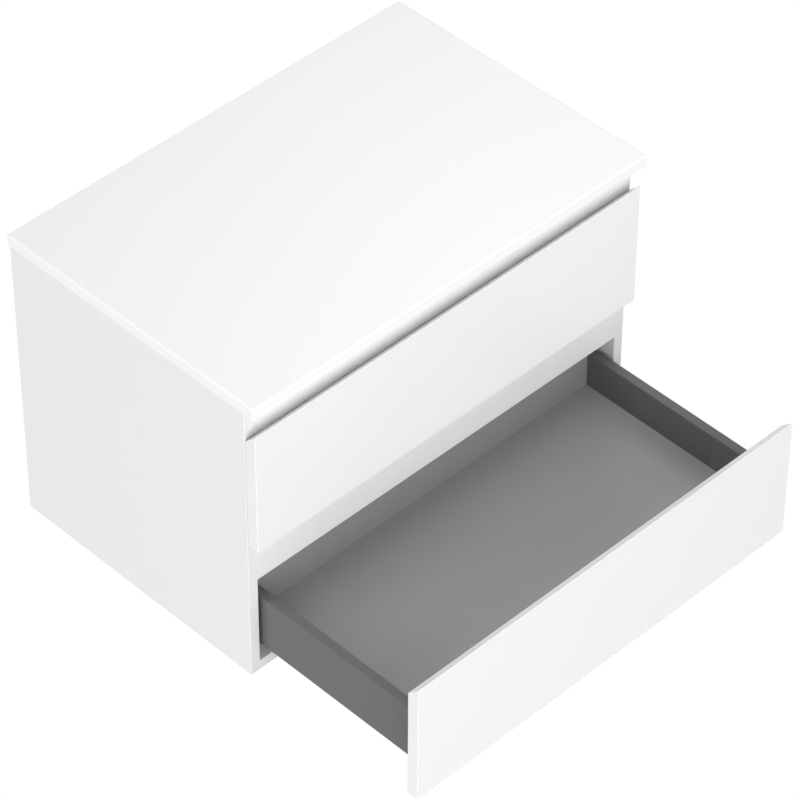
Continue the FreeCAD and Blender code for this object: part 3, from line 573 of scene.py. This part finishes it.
def make_screws(finishes):
    """Cross recessed screws in place of the plain CAD ones, one mesh for each body."""
    tree = screw_tree()
    steel = finishes["zinc_steel"]
    sets = {
        "cabinet": ("worktop_angle_screws", "hanger_screws", "runner_screws"),
        "upper_drawer": ("upper_drawer_screws",),
        "lower_drawer": ("lower_drawer_screws",),
    }
    for body, nodes in sets.items():
        seats = screw_seats(*nodes) + catch_seats(body)
        piece = set_screws(body + "_panel_screws", body, tree, PANEL_SCREW, steel, seats)
        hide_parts(*nodes)
    adjusters = set_screws("hanger_adjusters", "cabinet", tree, ADJUSTER, steel, adjuster_seats())


# Catches and dampers


def catch_places(body):
    """The start of each drawer's two catches: hand, edge of the base flange, front and underside."""
    if body == "cabinet":
        return []
    level = body.split("_")[0]
    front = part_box(level + "_front")[1][1]
    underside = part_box(level + "_drawer_base")[0][2]
    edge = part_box(level + "_right_drawer_side")[0][0]
    return [(hand, Vector((edge, front, underside))) for hand in (-1, 1)]


def sided(hand, origin, offset):
    """A point at an offset in millimetres from an origin of the right side, or its mirror image."""
    spot = origin + Vector(offset) * MM
    return Vector((hand * spot[0], spot[1], spot[2]))


def catch_seats(body):
    """Where the screws of a drawer's catches rest; they point up into its base."""
    up = Vector((0, 0, 1))
    return [
        (sided(hand, origin, offset), up)
        for hand, origin in catch_places(body)
        for offset in CATCH_SCREWS
    ]


def catch_blocks():
    """The blocks of one catch, with the row of grip ribs under it."""
    low, high, radius = CATCH_RIB
    ribs = []
    for index in range(CATCH_RIBS):
        shift = Vector((0, index * CATCH_RIB_STEP, 0))
        ribs.append((Vector(low) + shift, Vector(high) + shift, radius))
    return [*CATCH_BLOCKS, *ribs]


def add_block(shape, first, second, radius):
    """Add a block between two corners, with rounded edges."""
    made = bmesh.ops.create_cube(shape, size=1.0)["verts"]
    middle = (first + second) / 2
    for vertex in made:
        for axis in range(3):
            vertex.co[axis] = middle[axis] + vertex.co[axis] * abs(second[axis] - first[axis])
    edges = list({edge for vertex in made for edge in vertex.link_edges})
    steps = {"segments": ROUNDING_STEPS, "profile": ROUND_PROFILE, "affect": "EDGES"}
    bmesh.ops.bevel(shape, geom=edges, offset=radius, **steps)


def add_rings(shape, rings, closed):
    """Join rings of points with faces, round to the first ring or with an end face at each end."""
    rows = [[shape.verts.new(point) for point in ring] for ring in rings]
    for near, far in zip(rows, rows[1:] + rows[:1] if closed else rows[1:]):
        for index in range(len(near)):
            shape.faces.new((near[index], near[index - 1], far[index - 1], far[index]))
    if not closed:
        shape.faces.new(rows[0])
        shape.faces.new(rows[-1])


def turns(count):
    """So many angles, evenly round a full turn."""
    return [math.tau * step / count for step in range(count)]


def add_rod(shape, centre, profile):
    """Add a rod turned about its length, from distances along Y and radii."""
    rings = []
    for along, radius in profile:
        ring = []
        for turn in turns(ROD_SIDES):
            reach = Vector((math.cos(turn) * radius, along, math.sin(turn) * radius))
            ring.append(centre + reach * MM)
        rings.append(ring)
    add_rings(shape, rings, False)


def add_loop(shape, centre, across, along, thickness):
    """Add a flat finger loop: an oval ring of round section."""
    up = Vector((0, 0, 1))
    rings = []
    for turn in turns(LOOP_STEPS):
        outward = Vector((math.cos(turn), math.sin(turn), 0))
        middle = centre + Vector((outward[0] * across, outward[1] * along, 0)) * MM
        section = [outward * math.cos(lean) + up * math.sin(lean) for lean in turns(LOOP_SIDES)]
        rings.append([middle + reach * thickness * MM for reach in section])
    add_rings(shape, rings, True)


def close_shape(name, body, shape, finishes, slot):
    """Make a finished piece of a built shape."""
    mesh = bpy.data.meshes.new(name)
    shape.to_mesh(mesh)
    shape.free()
    piece = close_piece(name, body, mesh, finishes[slot])


def make_catches(finishes):
    """The moulded catches that lock each drawer to its runners, with their finger loops."""
    centre, across, along, thickness = CATCH_LOOP
    for body in ("upper_drawer", "lower_drawer"):
        shape = bmesh.new()
        # The loops come first: faces made after a block is rounded would be listed in no fixed order
        for hand, origin in catch_places(body):
            add_loop(shape, sided(hand, origin, centre), across, along, thickness)
        for hand, origin in catch_places(body):
            for low, high, radius in catch_blocks():
                add_block(shape, sided(hand, origin, low), sided(hand, origin, high), radius * MM)
        close_shape(body + "_catches", body, shape, finishes, "cap_plastic")


def make_dampers(finishes):
    """The closing dampers along the cabinet rails: moulded beds and turned steel barrels."""
    beds = bmesh.new()
    barrels = bmesh.new()
    for level in ("upper", "lower"):
        low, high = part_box(level + "_right_cabinet_rail")
        origin = Vector((low[0], high[1], low[2]))
        for hand in (-1, 1):
            for first, second, radius in DAMPER_BLOCKS:
                add_block(beds, sided(hand, origin, first), sided(hand, origin, second), radius * MM)
            add_rod(barrels, sided(hand, origin, DAMPER_AXIS), DAMPER_BARREL)
    close_shape("runner_damper_beds", "cabinet", beds, finishes, "hanger_plastic")
    close_shape("runner_damper_barrels", "cabinet", barrels, finishes, "zinc_steel")


# Studio


def make_camera():
    """The photograph's view, with its slight roll."""
    data = bpy.data.cameras.new("camera")
    data.sensor_width = CAMERA_SENSOR
    data.lens = CAMERA_LENS
    data.clip_end = CAMERA_REACH
    camera = add_object("camera", data)
    azimuth = math.radians(CAMERA_AZIMUTH)
    elevation = math.radians(CAMERA_ELEVATION)
    level = math.cos(elevation)
    look = Vector((-math.sin(azimuth) * level, math.cos(azimuth) * level, -math.sin(elevation)))
    roll = Matrix.Rotation(math.radians(CAMERA_ROLL), 3, "Z")
    turn = look.to_track_quat("-Z", "Y").to_matrix() @ roll
    camera.matrix_world = Matrix.Translation(CAMERA_PLACE) @ turn.to_4x4()
    bpy.context.scene.camera = camera


def make_world():
    """Even soft light all round; the camera, reflections and clear parts see plain white."""
    world = bpy.data.worlds.new("studio")
    bpy.context.scene.world = world
    world.use_nodes = True
    tree = world.node_tree
    tree.nodes.clear()
    start = Field(tree, None)
    seen = start.make("LightPath", output="Is Camera Ray")
    glossy = start.make("LightPath", output="Is Glossy Ray")
    through = start.make("LightPath", output="Is Transmission Ray")
    clamped = {"operation": "ADD", "use_clamp": True}
    share = start.make("Math", clamped, {0: seen + glossy, 1: through})
    strength = WORLD_LIGHT + share * (1.0 - WORLD_LIGHT)
    light = start.make("Background", {}, {"Color": WHITE, "Strength": strength})
    start.make("OutputWorld", {"is_active_output": True}, {"Surface": light})


def floor_finish():
    """Pale floor: white to the camera and in reflections but for a soft shadow, and clear from below."""
    material, place = new_finish("floor_white")
    seen = place.make("LightPath", output="Is Camera Ray")
    glossy = place.make("LightPath", output="Is Glossy Ray")
    share = (seen + glossy) * FLOOR_GLOW_SHARE
    matt = place.make("BsdfDiffuse", {}, {"Color": FLOOR_COLOUR})
    glow = place.make("Emission", {}, {"Color": WHITE, "Strength": FLOOR_GLOW})
    above = place.make("MixShader", {}, {0: share, 1: matt, 2: glow})
    below = place.make("NewGeometry", output="Backfacing")
    clear = place.make("BsdfTransparent")
    mixed = place.make("MixShader", {}, {0: below, 1: above, 2: clear})
    place.make("OutputMaterial", {"is_active_output": True}, {"Surface": mixed})
    return material


def make_floor():
    """A wide pale floor, well below the wall-hung cabinet."""
    signs = ((-1, -1), (1, -1), (1, 1), (-1, 1))
    corners = [(across * FLOOR_REACH, along * FLOOR_REACH, FLOOR_LEVEL) for across, along in signs]
    mesh = bpy.data.meshes.new("floor")
    mesh.from_pydata(corners, [], [(0, 1, 2, 3)])
    mesh.materials.append(floor_finish())
    floor = add_object("floor", mesh)


def make_softbox(name, place, aim, diameter, power):
    """A round soft lamp that faces its aim."""
    data = bpy.data.lights.new(name, "AREA")
    data.shape = "DISK"
    data.size = diameter
    data.energy = power
    lamp = add_object(name, data)
    lamp.location = place
    lamp.rotation_euler = (Vector(aim) - Vector(place)).to_track_quat("-Z", "Y").to_euler()


finishes = make_finishes()
dress_nodes(finishes)
make_screws(finishes)
make_catches(finishes)
make_dampers(finishes)
make_camera()
make_world()
make_floor()
for softbox in SOFTBOXES:
    make_softbox(*softbox)
bpy.context.scene.view_settings.view_transform = "Standard"
